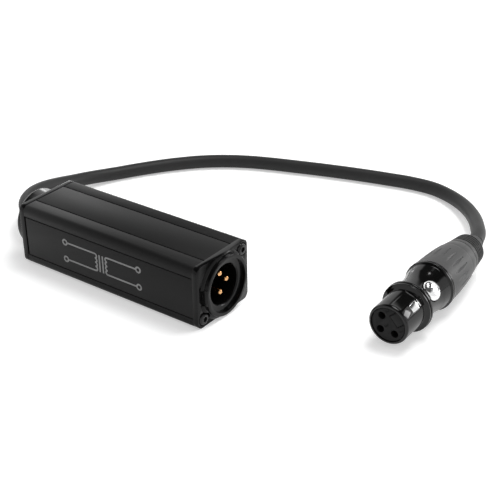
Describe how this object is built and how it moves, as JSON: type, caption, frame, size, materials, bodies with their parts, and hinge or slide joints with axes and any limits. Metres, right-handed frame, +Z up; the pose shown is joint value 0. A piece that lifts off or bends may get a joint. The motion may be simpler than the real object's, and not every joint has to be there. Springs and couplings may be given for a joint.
{
  "type": "ground loop isolator",
  "caption": "Inline audio ground loop isolator: oblong black metal case with a male socket in one end, and a short captive cord to a latching female plug at the other.",
  "frame": {"origin": "middle of the case tube's underside, on the surface it stands on", "axes": "+X along the case and out of the male socket, +Y across the case towards the side where the cord and plug lie, +Z up"},
  "size_m": [0.1978, 0.1559, 0.026],
  "materials": {
    "case_black": "satin black anodised",
    "socket_black": "satin black",
    "plate_black": "satin black",
    "insulator_black": "matte",
    "insulator_grey": "matte",
    "gold": "polished",
    "screw_black": "satin black",
    "rubber_grey": "matte",
    "cord_rubber": "matte",
    "sleeve_grey": "matte",
    "grip_grey": "matte",
    "black_chrome": "polished black",
    "bright_chrome": "polished",
    "board_green": "satin",
    "core_steel": "rolled",
    "bobbin_cream": "matte",
    "copper": "enamelled",
    "can_tin": "tinned",
    "lead_red": "satin",
    "lead_blue": "satin",
    "chuck_white": "matte"
  },
  "bodies": {
    "root": {"case_tube": "case_black", "front_socket": "socket_black", "socket_insulator": "insulator_black", "pin_1": "gold", "pin_2": "gold", "pin_3": "gold", "front_screws": "screw_black", "rear_plate": "plate_black", "rear_screws": "screw_black", "cord_grommet": "rubber_grey", "circuit_board": "board_green", "transformer_core": "core_steel", "transformer_bobbin": "bobbin_cream", "primary_winding": "copper", "secondary_winding": "copper", "screening_can": "can_tin", "front_leads": "lead_red", "rear_leads": "lead_blue", "cord": "cord_rubber", "plug_shell": "black_chrome", "plug_insulator": "insulator_grey", "plug_contact_1": "gold", "plug_contact_2": "gold", "plug_contact_3": "gold", "plug_leads": "cord_rubber", "cord_chuck": "chuck_white", "plug_grip": "grip_grey", "plug_boot": "grip_grey", "plug_sleeve": "sleeve_grey"},
    "latch": {"latch_lever": "bright_chrome", "latch_button": "bright_chrome"}
  },
  "joints": [
    {"name": "latch_press", "type": "slide", "parent": "root", "child": "latch", "axis": [-0.7427, -0.0259, -0.6691], "range_m": [0, 0.0013], "stiffness_N_per_m": 900, "springref_m": -0.0004}
  ]
}
